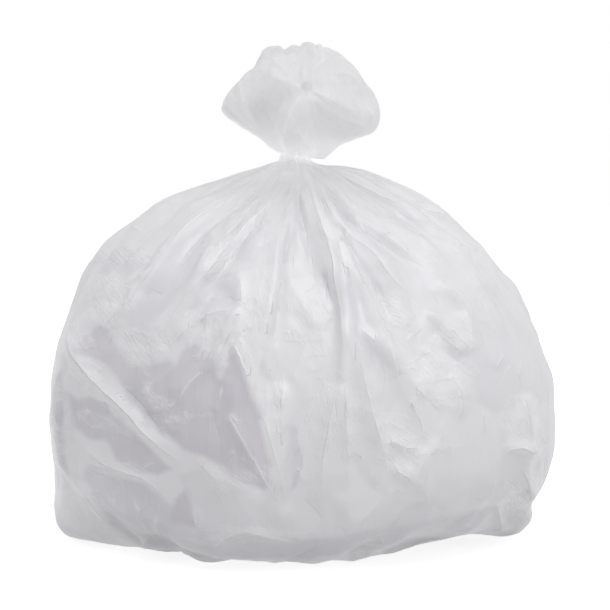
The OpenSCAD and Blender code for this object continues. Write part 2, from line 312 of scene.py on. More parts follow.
# A sheet of film being creased: folds add up in lift, along the film's outward way. Beside each
# crease the distance to its line and its height are kept, for the finish
class Creases:
    def __init__(self, net, calm=1.0):
        self.shape = net.shape[:2]
        self.calm = calm
        self.out = outwardOf(net).reshape(-1, 3)
        self.points = net.reshape(-1, 3)
        self.front = FrontOfFilm(net)
        self.lift = np.zeros(len(self.points))
        self.lineGap = np.full(len(self.points), 1.0)
        self.lineHigh = np.zeros(len(self.points))

    # left and right are the reach of the slope on either side of a path that runs down
    def fold(self, path, height, left, right, fadeIn=0.15, fadeOut=0.35):
        reach = 4 * max(left, right)
        above = (self.points > path.min(axis=0) - reach).all(axis=1)
        near = np.flatnonzero(above & (self.points < path.max(axis=0) + reach).all(axis=1))
        if not len(near):
            return
        start, way = path[:-1], path[1:] - path[:-1]
        lengths = np.linalg.norm(way, axis=1)
        rel = self.points[near][:, None] - start
        t = np.clip((rel * way).sum(axis=2) / (lengths ** 2), 0, 1)
        gap = rel - t[..., None] * way
        far = np.sqrt((gap ** 2).sum(axis=2))
        k = far.argmin(axis=1)
        row = np.arange(len(near))
        far, gap, t = far[row, k], gap[row, k], t[row, k]
        along = (np.concatenate(([0], np.cumsum(lengths)))[k] + t * lengths[k]) / lengths.sum()
        onRight = (np.cross(self.out[near], way[k]) * gap).sum(axis=1) > 0
        rounded = np.sqrt(far ** 2 + sheet["crest"] ** 2) - sheet["crest"]
        fall = np.exp(-rounded / np.where(onRight, right, left))
        ends = smoothStep(along / fadeIn) * smoothStep((1 - along) / fadeOut)
        self.lift[near] += height * fall * ends
        known = np.abs(self.lineGap[near])
        free = (far < known) & (known > sheet["lineApart"])
        self.lineGap[near[free]] = np.where(onRight, far, -far)[free]
        self.lineHigh[near[free]] = (height * ends * (far < sheet["lineReach"]))[free]

    # The same along pixels of the front, in mm
    def foldSeen(self, pixels, height, left, right, **fades):
        path = np.array([self.front.at(x, y) for x, y in pixels])
        self.fold(path, height * mm, left * mm, right * mm, **fades)

    # Folds of a list, made lower by a share and their slopes wider, but no wider than widest
    def layFolds(self, folds, pieces, share, wider, widest):
        for height, left, right, *pixels in folds.values():
            slopes = (min(left * wider, widest), min(right * wider, widest))
            self.foldSeen(curveThrough(pixels, pieces), height * share, *slopes)

    def creased(self):
        reach = sheet["creaseBlur"]
        lift = blur((self.lift * self.calm).reshape(self.shape), reach, reach).ravel()
        return (self.points + self.out * lift[:, None]).reshape(self.shape + (3,))

    # One where the film faces the front, nought from the sides on
    def facing(self):
        return smoothStep((self.out @ np.array((0, -1, 0)) + 0.05) / 0.3)


# A path over a net between places given by row and column
def pathOnNet(net, rowsAt, columnsAt):
    columns = net.shape[1]
    rowsAt = np.clip(rowsAt, 0, net.shape[0] - 1.001)
    low, left = np.floor(rowsAt).astype(int), np.floor(columnsAt).astype(int)
    v, u = (rowsAt - low)[:, None], (columnsAt - left)[:, None]
    left, right = left % columns, (left + 1) % columns
    below = net[low, left] * (1 - u) + net[low, right] * u
    above = net[low + 1, left] * (1 - u) + net[low + 1, right] * u
    return below * (1 - v) + above * v


# Ridges and hollows that run from the neck, wherever the photograph doesn't show them: frontFree is
# how many degrees on either side of the front's middle are left out
def seedGathers(creases, net, count, fromTop, length, height, width, frontFree):
    rows, columns = net.shape[:2]
    for k in range(count):
        column = (k + rng.uniform(-0.45, 0.45)) / count * columns
        drift = rng.normal(0, 0.035) * columns
        bow = rng.normal(0, 0.015) * columns
        reach = length * rng.uniform(0.55, 1.3) * rows
        begin = rows - 1 - fromTop * rows * rng.uniform(0.5, 1.5)
        t = np.linspace(0, 1, 9)
        high = height * rng.uniform(0.5, 1.2) * (1 if k % 2 else -1)
        slopes = width * rng.uniform(0.6, 1.5, 2)
        if frontFree and abs(column / columns * 360 - 270) < frontFree:
            continue
        path = pathOnNet(net, begin - t * reach, column + drift * t + bow * np.sin(math.pi * t))
        creases.fold(path, high * mm, *(slopes * mm), fadeIn=0.1, fadeOut=0.5)


# Creases that split the film into facets, running any way but mostly up and down
def seedFacets(creases, net, count, rowsFrom, rowsTo, length, height, sharp, wide):
    rows, columns = net.shape[:2]
    pieces = 7
    columnStep, rowStep = stepsOf(net)
    for k in range(count):
        row = rng.uniform(rowsFrom, rowsTo) * rows
        column = rng.uniform(0, columns)
        angle = rng.normal(0, 0.55) + (math.pi if rng.random() < 0.5 else 0)
        turn = rng.normal(0, 0.8)
        reach = length * rng.uniform(0.4, 1.3) * mm
        high = height * rng.uniform(0.4, 1.2) * (1 if rng.random() < 0.65 else -1) * mm
        slopes = (sharp * mm, wide * rng.uniform(0.5, 1.4) * mm)
        rowsAt, columnsAt = [row], [column]
        for step in range(pieces):
            r, c = int(np.clip(rowsAt[-1], 0, rows - 1)), int(columnsAt[-1]) % columns
            rowsAt.append(rowsAt[-1] - math.cos(angle) * reach / pieces / rowStep[r, c])
            columnsAt.append(columnsAt[-1] + math.sin(angle) * reach / pieces / columnStep[r, c])
            angle += turn / pieces
        if min(rowsAt) < 2 or max(rowsAt) > rows - 3:
            continue
        path = pathOnNet(net, np.array(rowsAt), np.array(columnsAt))
        creases.fold(path, high, *(slopes if k % 2 else slopes[::-1]), fadeIn=0.25, fadeOut=0.3)


# Fine lines that run beside the folds of the front, each along a part of its fold
def besideFolds(folds):
    for height, left, right, *pixels in folds.values():
        path = curveThrough(pixels, 6)
        way = np.gradient(path, axis=0)
        side = np.stack((-way[:, 1], way[:, 0]), axis=1) / np.linalg.norm(way, axis=1, keepdims=True)
        for k in range(4):
            far = rng.uniform(2.5, 9) * (1 if k % 2 else -1)
            begin, end = np.sort(rng.uniform(0, 1, 2)) * (len(path) - 1)
            if end - begin < 5:
                continue
            part = slice(int(begin), int(end) + 1)
            aside = far + np.linspace(0, rng.normal(0, 3), part.stop - part.start)
            yield path[part] + side[part] * aside[:, None], rng.uniform(0.6, 1.4)


# Short sharp creases scattered over a patch
def crinkle(place, size, angle, count, high):
    for k in range(count):
        u, v = rng.uniform(-1, 1, 2)
        inside = (u * math.sqrt(1 - v * v / 2), v * math.sqrt(1 - u * u / 2))
        middle = np.array(place) + np.array(size) * inside
        turn = math.radians(angle) + rng.normal(0, 0.45)
        half = rng.uniform(5, 13)
        way = np.array((math.cos(turn), -math.sin(turn))) * half
        bent = middle + rng.normal(0, 1.5, 2)
        mine = high * rng.uniform(0.4, 1.2) * (1 if rng.random() < 0.65 else -1)
        yield curveThrough((middle - way, bent, middle + way), 3), mine


# The neck, where the film is drawn together. In mm, apart from shares
neck = {
    "aside": -4.5,
    "tilt": -0.2,
    "calmest": 0.22,  # share that is left of a crease's height there
    "calmFrom": 12,
    "calmReach": 150,
    # glowAt, glowHigh and glows place the painted glow: emission that lifts the shade round the neck
    "glowAt": 335,
    "glowHigh": 30,
    "glows": ((0.9, 10, 75), (0.45, 12, 10)),  # strength, where it starts to fade and over how far
}


def fromNeck(net):
    return np.hypot(net[..., 0] - neck["aside"] * mm, net[..., 1]) / mm


# Creases stay low where the film is drawn together
def calmAtNeck(net):
    calm = smoothStep((fromNeck(net) - neck["calmFrom"]) / neck["calmReach"])
    top = net[..., 2] > net[..., 2].max() / 2
    return np.where(top, neck["calmest"] + (1 - neck["calmest"]) * calm, 1).ravel()


# Painted glow at the neck: emission that stands in for light coming through the film from all round
def paintedGlowAtNeck(net):
    away = fromNeck(net)
    near = np.exp(-((net[..., 2] / mm - neck["glowAt"]) / neck["glowHigh"]) ** 2)
    lit = sum(share * (1 - smoothStep((away - begin) / far)) for share, begin, far in neck["glows"])
    return (lit * near).ravel()


# Rings that draw film together about the axis, tilted as the neck is: height and radius in mm
def drawnRings(ring, places):
    way = ring[:, :2] / np.linalg.norm(ring[:, :2], axis=1, keepdims=True)
    rings = []
    for high, radius in places:
        points = np.column_stack((way * radius, high + neck["tilt"] * radius * way[:, 0])) * mm
        points[:, 0] += neck["aside"] * mm
        rings.append(points)
    return np.array(rings)


# Film that stands nearly level round the neck
def liftRound(net, high, radius, reach):
    away = np.hypot(net[..., 0], net[..., 1]) / mm
    top = net[..., 2] > net[..., 2].max() / 2
    lifted = net.copy()
    lifted[..., 2] += np.where(top, high * mm * np.exp(-((away - radius) / reach) ** 2), 0)
    return lifted


# Film moved straight up: pixel across, then mm up and reach in mm
def raised(net, places, share):
    moved = net.copy()
    for across, far, reach in places:
        gap = (net[..., 0] - inMiddlePlane(across, 0)[0]) / mm
        moved[..., 2] += far * mm * np.exp(-(gap / reach) ** 2) * share
    return moved


# Film that stands further out or in than the solid: pixel on the outline, mm out and reach in mm,
# then how far behind the middle it is, in mm, if it isn't on the outline
def bulge(net, bulges):
    out = outwardOf(net)
    moved = net.copy()
    for x, y, far, reach, *behind in bulges.values():
        middle = inMiddlePlane(x, y)
        if behind:
            middle[1] = behind[0] * mm
        gap = np.linalg.norm(net - middle, axis=2)
        moved += out * (far * mm * np.exp(-(gap / (reach * mm)) ** 2))[..., None]
    return moved


# Values kept on the mesh for the film's finish, either numbers or vectors
def keepOnMesh(piece, kept):
    for name, values in kept.items():
        spare = len(piece.data.vertices) - len(values)  # the two middle points
        values = np.concatenate((values, np.repeat(values[-1:], spare, axis=0)))
        kind, field = ("FLOAT", "value") if values.ndim == 1 else ("FLOAT_VECTOR", "vector")
        data = piece.data.attributes.new(name, kind, "POINT").data
        data.foreach_set(field, values.ravel())


def aroundAndUp(net):
    turn = np.linspace(0, 2 * math.pi, net.shape[1], endpoint=False)
    steps = np.linalg.norm(np.diff(net, axis=0), axis=2).mean(axis=1)
    field = np.empty(net.shape)
    field[..., 0] = np.cos(turn)
    field[..., 1] = np.sin(turn)
    field[..., 2] = np.concatenate(([0], np.cumsum(steps)))[:, None]
    return field.reshape(-1, 3)


# How far points lie inside an outline, in pixels
def insideOutline(points, outline):
    inside = np.zeros(len(points), dtype=bool)
    gap = np.full(len(points), 1e9)
    for (x0, y0), (x1, y1) in zip(outline, outline[1:] + outline[:1]):
        way = np.array((x1 - x0, y1 - y0), dtype=float)
        rel = points - (x0, y0)
        t = np.clip(rel @ way / (way @ way), 0, 1)
        gap = np.minimum(gap, np.hypot(*(rel - t[:, None] * way).T))
        if y0 != y1:
            crosses = (y0 > points[:, 1]) != (y1 > points[:, 1])
            inside ^= crosses & (points[:, 0] < (x1 - x0) * (points[:, 1] - y0) / (y1 - y0) + x0)
    return np.where(inside, gap, -gap)


# Shades of the front laid over a piece's own, with uneven edges. soft is how wide the edges of the
# dark and the white ones are, in pixels
def layShades(shade, shades, creases, uneven, soft):
    spots = seenAt(creases.points) + noiseColumns(creases.shape, 2, 2, 2) * uneven
    facing = creases.facing()
    for value, *outline in shades.values():
        within = facing * smoothStep(insideOutline(spots, outline) / soft[value > 0] + 0.5)
        shade = shade * (1 - within) + value * within
    return shade


# Body of the bag: the net cast from the solid, then its neck. Lengths in lists are in mm
body = {
    "columns": 96,
    "rows": 61,
    "frontCrowding": 0.3,
    "centre": (0, 0, 150 * mm),
    "fromPolar": math.radians(20),
    "toPolar": math.radians(174.4),
    "crispBlur": (0.55, 0.9),
    "smoothBlur": (0.8, 2.7),
    "smoothAbove": (0.27, 0.15),  # share of the rows where the solid's folds start to fade, over how many
    "smoothFront": (80, 25),  # degrees from the front's middle: where they come back, over how far
    "smoothBehind": 0.2,
    "lift": {"high": 5.0, "radius": 38.0, "reach": 26.0},
    "raised": ((66, 4, 22), (420, 5, 40), (478, 3, 30)),
    "raisedBelow": 80,
    "raisedFront": (30, 60),  # how far in front of the middle that starts, over how far
    "neckRings": ((333, 14), (335.5, 12), (338.5, 10.5), (341, 7)),
}

# How the film is folded. Buckles: steps, noise, spare film and the share of it low down. Gathers and
# facets: as their functions take them
body["folding"] = {
    "buckles": ((80, 1.0, 0.03, 0.3), (50, 0.3, 0.02, 0.3), (8, 0.12, 0.012, 0.4)),
    "furthest": 12,
    "shoulder": (0.45, 0.3),  # share of the rows where it starts, over how many
    "wideGathers": ((44, 0.01, 0.4, 2.5, 4.0, 62), (30, 0.02, 0.8, 2.5, 4.0, 62)),
    "wideFacets": (90, 0.08, 0.72, 110, 3.0, 3.0, 11),
    "fineGathers": (90, 0.005, 0.16, 2.0, 2.0, 0),
    "fineFacets": (420, 0.06, 0.85, 42, 1.2, 2.6, 5),
    "again": (6, 0.42, 1, 2.8),  # second laying: pieces of the curve, share, wider, widest
    "crinkleShare": 0.3,
    "crinkleWide": 2.6,
    "besideWide": 2.0,
}

body["bulges"] = {
    "leftShoulder": (158, 205, 8, 50),
    "leftUpper": (100, 258, 7, 40),
    "rightTop": (365, 172, 7, 36),
    "rightShoulder": (425, 203, 6, 42),
    "rightUpper": (500, 292, 3, 40),
    "neckRise": (300, 178, 5, 26),
    "leftBelly": (50, 440, -1, 40),
    "rightBelly": (548, 450, -9, 36),
    "rightCorner": (524, 526, 6, 22),
    "rightSole": (435, 550, -12, 42, -50),
    "leftCorner": (52, 510, 2, 25),
}

# Folds of the front, read from the photograph: height of the crest and reach of its left and right
# slopes in mm, then where it runs, in pixels. Minus heights are valleys
body["folds"] = {
    "leafCrest": (4.5, 4, 4, (308, 174), (313, 198), (322, 225), (331, 252), (338, 290), (345, 330),
        (345, 380)),
    "leafValleyLeft": (-4, 4, 4, (297, 186), (300, 208), (306, 232), (312, 260), (318, 300)),
    "slitValley": (-3.2, 2.5, 3, (291, 215), (287, 238), (284, 262), (282, 290), (276, 325), (268, 360)),
    "slitRidge": (3.5, 5, 3, (296, 196), (288, 222), (279, 250), (274, 290), (266, 330), (258, 375),
        (256, 410)),
    "broadValley": (-4.5, 4, 5, (322, 184), (334, 203), (350, 221), (375, 237), (402, 256), (440, 274)),
    "longRidge": (3.8, 4, 4, (318, 184), (331, 212), (345, 232), (372, 252), (395, 282), (425, 310),
        (447, 327)),
    "darkValley": (-4, 4, 4, (332, 222), (341, 238), (354, 258), (372, 284), (385, 312), (400, 345)),
    "smoothBand": (4, 6, 5, (336, 232), (350, 262), (366, 295), (381, 328), (394, 362), (404, 400)),
    "upperRidge": (3, 5, 5, (320, 176), (340, 194), (357, 210), (386, 224), (420, 240), (452, 262)),
    "upperValley": (-2.5, 6, 6, (335, 182), (360, 197), (387, 215), (420, 221), (452, 228)),
    "shoulderRidge": (3, 6, 6, (332, 172), (352, 180), (390, 200), (430, 211), (465, 227), (485, 250)),
    "longLeftRidge": (3.5, 4, 4, (288, 194), (265, 207), (238, 235), (215, 262), (190, 292), (168, 322),
        (147, 343), (136, 362)),
    "longLeftValley": (-3, 4, 5, (275, 208), (252, 232), (230, 262), (212, 290), (196, 318)),
    "secondLeftRidge": (3.5, 3, 4, (276, 191), (256, 202), (238, 222), (216, 247), (202, 272), (186, 297),
        (168, 318)),
    "leftShoulderRidge": (3.5, 6, 5, (270, 185), (252, 190), (228, 200), (204, 212), (182, 230), (160, 258)),
    "leftShoulderValley": (-3.5, 6, 6, (262, 196), (236, 210), (208, 230), (184, 256), (166, 284)),
    "topLeftRidge": (3, 6, 6, (268, 176), (242, 181), (208, 188), (176, 202), (148, 224)),
    "diagonalRidge": (3, 2.5, 6, (163, 259), (146, 279), (130, 300), (110, 320), (96, 338)),
    "whiteBand": (5, 4, 7, (66, 335), (74, 356), (92, 380), (118, 404), (146, 434), (172, 456), (194, 471)),
    "bandValley": (-4, 6, 6, (118, 382), (142, 406), (160, 430), (178, 448)),
    "lowBand": (3.5, 2.5, 4, (84, 446), (104, 464), (126, 472), (146, 480), (176, 507)),
    "cuffEdge": (3.5, 2, 8, (174, 342), (195, 322), (215, 312), (236, 308)),
    "cuffFall": (4, 8, 2, (236, 308), (231, 330), (221, 355), (222, 377)),
    "centreEdge": (3.4, 9, 2, (238, 262), (241, 298), (230, 334), (240, 358), (256, 400), (272, 446),
        (284, 492), (291, 526)),
    "innerEdge": (2.5, 2, 5, (225, 410), (254, 460), (279, 508), (290, 528)),
    "centreLine": (4, 2.5, 3.5, (324, 190), (336, 226), (343, 258), (345, 290), (347, 335), (344, 385),
        (347, 430), (349, 478), (353, 524)),
    "centreValley": (-4, 6, 4, (322, 268), (330, 292), (336, 312), (334, 345)),
    "bowLine": (3.5, 4, 3, (342, 380), (335, 400), (328, 432), (322, 468), (325, 502)),
    "brightLine": (3, 3, 3, (284, 372), (282, 400), (281, 432), (282, 480), (288, 507)),
    "rightStrand": (3.5, 3, 3, (347, 318), (358, 352), (366, 385), (376, 425), (386, 458), (387, 488)),
    "farStrand": (3, 3, 3, (398, 372), (408, 396), (420, 420), (428, 446)),
    "chevronTop": (3.5, 3, 2.5, (424, 309), (445, 324), (464, 344), (472, 362)),
    "chevronLow": (-2.2, 4, 3, (430, 322), (440, 344), (455, 359), (469, 367)),
    "arc": (3, 6, 2.5, (438, 279), (456, 294), (467, 311), (471, 332), (469, 358)),
    "fineRight": (2.5, 2.5, 2.5, (452, 238), (464, 248), (481, 268), (498, 288), (513, 314)),
    "fanEdge": (3.5, 7, 2.5, (449, 372), (460, 392), (462, 406), (456, 422)),
    "lowerRay": (2.8, 2.5, 3, (358, 326), (386, 352), (414, 386), (445, 414)),
    "lowerRayTwo": (2.5, 2.5, 2.5, (378, 334), (409, 367), (430, 391), (456, 417)),
    "facetRise": (3, 3, 5, (418, 476), (428, 455), (441, 438)),
    "facetEdge": (3, 3, 5, (426, 446), (421, 468), (423, 487), (431, 508)),
    "facetTop": (3, 3, 4, (386, 438), (406, 447), (424, 446)),
    "facetLow": (3, 3, 4, (390, 468), (407, 476), (422, 488)),
    "sideFold": (5, 4, 4, (502, 455), (520, 448), (541, 457)),
    "sideRidge": (4, 4, 4, (523, 392), (528, 414), (530, 436), (526, 452)),
    "flapEdge": (5, 2, 6, (520, 466), (526, 480), (531, 500)),
    "cornerRidge": (4, 3, 3, (82, 486), (92, 504), (107, 521), (120, 530)),
    "cornerLine": (3, 3, 3, (496, 500), (500, 520), (503, 536)),
    "lowFacet": (3, 3, 6, (212, 546), (240, 532), (268, 536), (300, 543)),
    "lowVee": (2.5, 3, 5, (341, 490), (348, 512), (354, 530), (366, 516), (384, 496)),
    "wrapHollow": (-5, 6, 6, (305, 178), (296, 184), (284, 184), (272, 180)),
    "collarTop": (4, 4, 4, (313, 167), (300, 165), (284, 166), (266, 169), (240, 176), (212, 185)),
    "collarLow": (3, 3, 3, (312, 170), (298, 171), (280, 175), (262, 181), (244, 188)),
}

# Patches of fine crinkles on the front: middle and size in pixels, the way they run in degrees from
# level, how many and how high in mm
body["patches"] = {
    "leftTop": ((128, 256), (34, 10), -40, 26, 1.5),
    "leftUpper": ((112, 298), (22, 26), -60, 34, 1.6),
    "leftMiddle": ((148, 342), (28, 20), -60, 34, 1.6),
    "leftTip": ((78, 340), (14, 14), -60, 12, 1.4),
    "band": ((128, 420), (60, 12), -40, 46, 1.7),
    "bandStart": ((80, 366), (18, 12), -45, 14, 1.7),
    "underBand": ((148, 408), (26, 16), -50, 22, 1.4),
    "lowStrip": ((118, 468), (34, 7), -22, 16, 1.5),
    "corner": ((82, 508), (26, 20), -50, 26, 1.8),
    "leftSide": ((62, 430), (10, 34), -10, 14, 1.4),
    "cuff": ((212, 336), (22, 22), 70, 26, 1.5),
    "low": ((235, 478), (30, 14), -35, 18, 1.1),
    "centreTop": ((262, 310), (14, 34), -80, 18, 1.1),
    "centre": ((272, 402), (16, 26), -75, 24, 1.5),
    "middle": ((312, 330), (20, 40), -75, 30, 1.2),
    "middleLow": ((330, 420), (30, 44), -80, 36, 1.2),
    "rightFine": ((396, 308), (18, 16), -25, 16, 1.3),
    "fan": ((434, 372), (34, 24), -45, 40, 1.3),
    "fanLow": ((438, 396), (26, 20), -50, 24, 1.3),
    "chevron": ((450, 338), (22, 20), -45, 18, 1.2),
    "rightUpper": ((436, 252), (22, 12), -30, 16, 1.1),
    "rightLine": ((484, 276), (12, 40), -52, 16, 1.0),
    "facets": ((402, 452), (24, 30), -40, 26, 1.5),
    "rightSide": ((524, 426), (18, 34), -70, 28, 1.9),
    "rightCorner": ((520, 500), (20, 26), -60, 20, 1.5),
    "broadDark": ((362, 226), (18, 9), -35, 14, 0.9),
    "topLeft": ((190, 212), (36, 14), 35, 22, 1.1),
    "leftRidges": ((216, 262), (16, 34), 48, 24, 1.0),
    "bottom": ((250, 535), (70, 10), -10, 18, 1.0),
}


def buckleBody(net, steps, noise, grow, low):
    up = upOf(net)
    begin, far = body["folding"]["shoulder"]
    shoulder = smoothStep((up - begin) / far)
    growRound = grow * (low + (1 - low) * shoulder)
    growUp = grow * 0.5 * (1 - shoulder)
    calm = smoothStep(up / 0.12)
    return buckle(net, steps, noise, (3, 1.5), growRound, growUp, calm, body["folding"]["furthest"])


# The solid's own folds stay low down, at the sides and behind, where the photograph shows no others
def castBody():
    rays, reaches = castNet(body)
    crisp = blur(reaches, *body["crispBlur"])
    smooth = blur(reaches, *body["smoothBlur"])
    fromFront = np.abs((np.linspace(0, 360, body["columns"], endpoint=False) - 90) % 360 - 180)
    begin, far = body["smoothAbove"]
    smoothed = smoothStep((upOf(reaches) - begin) / far)
    begin, far = body["smoothFront"]
    behind = body["smoothBehind"]
    smoothed = smoothed * (behind + (1 - behind) * smoothStep((begin - fromFront) / far))
    reaches = crisp + (smooth - crisp) * smoothed
    return np.array(body["centre"]) + rays * reaches[..., None]


net = liftRound(bulge(castBody(), body["bulges"]), **body["lift"])
below = body["raisedBelow"]
begin, far = body["raisedFront"]
low = smoothStep((below - net[..., 2] / mm) / below)
lowFront = low * smoothStep((-net[..., 1] / mm - begin) / far)
net = raised(net, body["raised"], lowFront)
net = np.vstack((net, drawnRings(net[-1], body["neckRings"])))
folding = body["folding"]
net = refine(buckleBody(net, *folding["buckles"][0]))

creases = Creases(net, calmAtNeck(net))
creases.layFolds(body["folds"], 4, 1, 1, math.inf)
for gathers in folding["wideGathers"]:
    seedGathers(creases, net, *gathers)
seedFacets(creases, net, *folding["wideFacets"])
net = refine(buckleBody(creases.creased(), *folding["buckles"][1]))
print("wide folds laid")

creases = Creases(net, calmAtNeck(net))
creases.layFolds(body["folds"], *folding["again"])
wide = folding["crinkleWide"]
for patch in body["patches"].values():
    for line, high in crinkle(*patch):
        creases.foldSeen(line, high * folding["crinkleShare"], wide, wide, fadeIn=0.3, fadeOut=0.3)
wide = folding["besideWide"]
for line, high in besideFolds(body["folds"]):
    creases.foldSeen(line, high, wide, wide, fadeIn=0.3, fadeOut=0.4)
seedGathers(creases, net, *folding["fineGathers"])
seedFacets(creases, net, *folding["fineFacets"])
net = buckleBody(creases.creased(), *folding["buckles"][2])
print("crinkles laid")

piece = filmObject("bag_body", net, bottom=(0, 0, 0), top=(0, 0, float(net[-1, :, 2].mean())))
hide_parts("tied_bag")

# Shades of the front, read from the photograph: minus where it looks darker, plus where it is whiter, then
# the outline in pixels. Most dark ones are where the film lies on what is in the bag; painted shade and
# painted light are marked
body["shades"] = {
    "lilacSlope": (-0.45, (160, 261), (178, 244), (195, 230), (212, 230), (215, 245), (202, 265),
        (190, 285), (170, 305), (147, 330), (132, 340), (125, 320), (145, 287)),
    "leftPatch": (-0.6, (100, 262), (110, 250), (122, 246), (130, 250), (140, 255), (157, 261), (150, 267),
        (135, 272), (127, 280), (120, 275), (112, 272), (105, 277), (99, 272)),
    "purpleRidges": (-0.4, (240, 225), (262, 215), (275, 225), (270, 250), (255, 262), (240, 262),
        (232, 250)),
    "facet": (-0.35, (200, 280), (215, 272), (237, 270), (240, 300), (235, 309), (215, 311), (202, 316),
        (192, 310)),
    # underCuff, belowTip and underBand: film lying on what is inside, deepened with painted shade, as the
    # lower left is darker
    "underCuff": (-0.95, (150, 385), (165, 372), (175, 366), (182, 352), (195, 341), (207, 348), (214, 362),
        (222, 377), (226, 366), (229, 340), (238, 352), (250, 385), (262, 430), (272, 470), (262, 490),
        (235, 480), (205, 455), (185, 450), (160, 425)),
    "belowTip": (-0.8, (70, 352), (80, 340), (97, 327), (107, 327), (120, 350), (132, 365), (147, 365),
        (170, 360), (175, 366), (160, 380), (140, 390), (122, 387), (110, 370), (90, 357), (77, 357)),
    "blueCrinkle": (-0.8, (124, 392), (140, 386), (156, 398), (172, 412), (178, 428), (166, 432),
        (150, 420), (134, 406)),
    "centralWhite": (0.5, (237, 275), (257, 267), (270, 285), (272, 305), (265, 340), (257, 380),
        (252, 387), (240, 350), (237, 320)),
    "underBand": (-0.85, (66, 392), (77, 400), (90, 395), (115, 412), (135, 430), (152, 450), (170, 468),
        (158, 474), (140, 472), (122, 462), (105, 442), (90, 440), (74, 428)),
    # Painted shade along the left edge, which faces away from the light
    "paintedShadeLeft": (-0.85, (46, 380), (62, 372), (66, 410), (66, 450), (72, 485), (60, 492), (50, 470)),
    "belowLowBand": (-0.6, (85, 465), (100, 470), (127, 480), (147, 487), (175, 507), (190, 520),
        (202, 540), (205, 556), (165, 552), (145, 543), (112, 528), (95, 497), (82, 480)),
    "darkLow": (-0.9, (175, 500), (186, 490), (198, 500), (206, 520), (208, 556), (172, 554), (168, 530)),
    "midLow": (-0.35, (177, 475), (200, 470), (215, 480), (235, 492), (252, 520), (240, 532), (212, 545),
        (200, 530), (190, 500)),
    "vee": (0.6, (256, 378), (272, 384), (290, 380), (292, 405), (287, 425), (280, 432), (272, 434),
        (264, 420), (260, 400)),
    "purpleLow": (-0.6, (290, 425), (305, 435), (305, 462), (297, 487), (290, 492)),
    "lowPatch": (-0.3, (377, 540), (390, 522), (410, 505), (425, 497), (435, 500), (432, 515), (420, 530),
        (400, 542), (385, 547)),
    "rightSmooth": (-0.12, (430, 455), (465, 425), (495, 415), (505, 435), (497, 462), (480, 487),
        (450, 497), (430, 487), (425, 470)),
    "flapRight": (-0.45, (522, 470), (542, 462), (544, 490), (532, 505), (530, 530), (515, 535), (510, 520),
        (520, 492)),
    # broadDark, darkValley, secondValley, centreShade, slitTop and slit: painted shade in the valleys of the
    # folds
    "broadDark": (-0.4, (327, 197), (352, 215), (372, 227), (388, 237), (378, 242), (365, 238), (350, 229),
        (335, 215)),
    "darkValley": (-0.55, (338, 232), (352, 244), (366, 262), (380, 285), (388, 310), (398, 345),
        (392, 348), (378, 318), (364, 286), (350, 258)),
    "secondValley": (-0.45, (345, 262), (352, 288), (362, 320), (376, 355), (372, 372), (358, 345),
        (350, 320), (344, 292)),
    "centreShade": (-0.3, (317, 265), (328, 272), (340, 292), (340, 320), (330, 330), (320, 310)),
    "slitTop": (-0.5, (294, 200), (303, 198), (307, 212), (309, 230), (300, 232), (294, 222)),
    "slit": (-0.6, (287, 226), (290, 240), (288, 258), (284, 275), (281, 270), (283, 250)),
    "oval": (-0.5, (290, 340), (304, 330), (310, 340), (301, 356), (296, 375), (289, 382)),
    "pinkSlope": (-0.3, (372, 240), (400, 262), (430, 272), (445, 280), (425, 285), (400, 268), (385, 255)),
    # Painted shade in the valley under chevronTop
    "chevron": (-0.35, (425, 315), (445, 327), (460, 346), (470, 365), (450, 357), (440, 342), (430, 327)),
    "rightBig": (-0.24, (472, 300), (487, 282), (513, 315), (532, 336), (546, 367), (544, 400), (505, 412),
        (480, 410), (472, 378), (469, 336)),
    "greyUpper": (-0.35, (382, 213), (410, 216), (452, 226), (448, 232), (420, 230), (395, 227)),
    # Painted shade in the hollow under the neck
    "paintedShadeUnderNeck": (-0.45, (268, 182), (274, 174), (290, 176), (302, 178), (304, 190), (296, 197), (284, 194)),
    "leaf": (0.6, (303, 182), (306, 174), (312, 174), (322, 188), (332, 210), (340, 232), (350, 262),
        (342, 262), (326, 236), (312, 212)),
    "upperBand": (0.35, (320, 180), (340, 184), (362, 200), (386, 220), (372, 222), (348, 206), (330, 194)),
    "smoothBand": (0.3, (345, 246), (362, 264), (385, 302), (403, 352), (398, 372), (380, 345), (364, 306),
        (352, 276)),
    "fan": (0.35, (412, 320), (424, 316), (440, 340), (462, 366), (470, 385), (452, 412), (420, 392),
        (400, 368), (402, 345)),
    "rightSide": (0.4, (508, 440), (520, 402), (530, 396), (546, 404), (544, 452), (520, 452)),
    # Painted light on the collar, lifting the shade by the neck
    "paintedLightCollar": (0.7, (205, 196), (222, 178), (250, 168), (285, 161), (313, 164), (313, 170), (290, 172),
        (262, 178), (232, 188)),
    # Painted shade along the bottom, where less light falls
    "paintedShadeLow": (-0.55, (110, 524), (170, 522), (250, 534), (330, 538), (400, 526), (470, 512), (520, 500),
        (534, 512), (524, 532), (460, 543), (393, 549), (300, 560), (220, 558), (150, 550)),
    # Painted light: the middle and the lower right are lit more
    "paintedLightCentre": (0.3, (262, 268), (300, 262), (330, 300), (352, 360), (352, 470), (310, 480), (294, 420),
        (290, 380), (272, 384), (258, 340)),
    "rightLow": (0.3, (395, 400), (470, 400), (500, 420), (500, 480), (440, 500), (390, 500), (372, 450)),
    "rightFacets": (0.5, (388, 436), (402, 442), (424, 447), (421, 486), (408, 478), (388, 466)),
}

# Shades and crinkles that the photograph doesn't show are seeded
body["seeded"] = {
    "cells": 260,
    "cellShades": (-0.55, 0.4),
    "wander": 3 * mm,  # how uneven the cells are
    "stretch": (1, 1, 0.6),
    "patches": 46,
    "patchSizes": (10, 30),
}


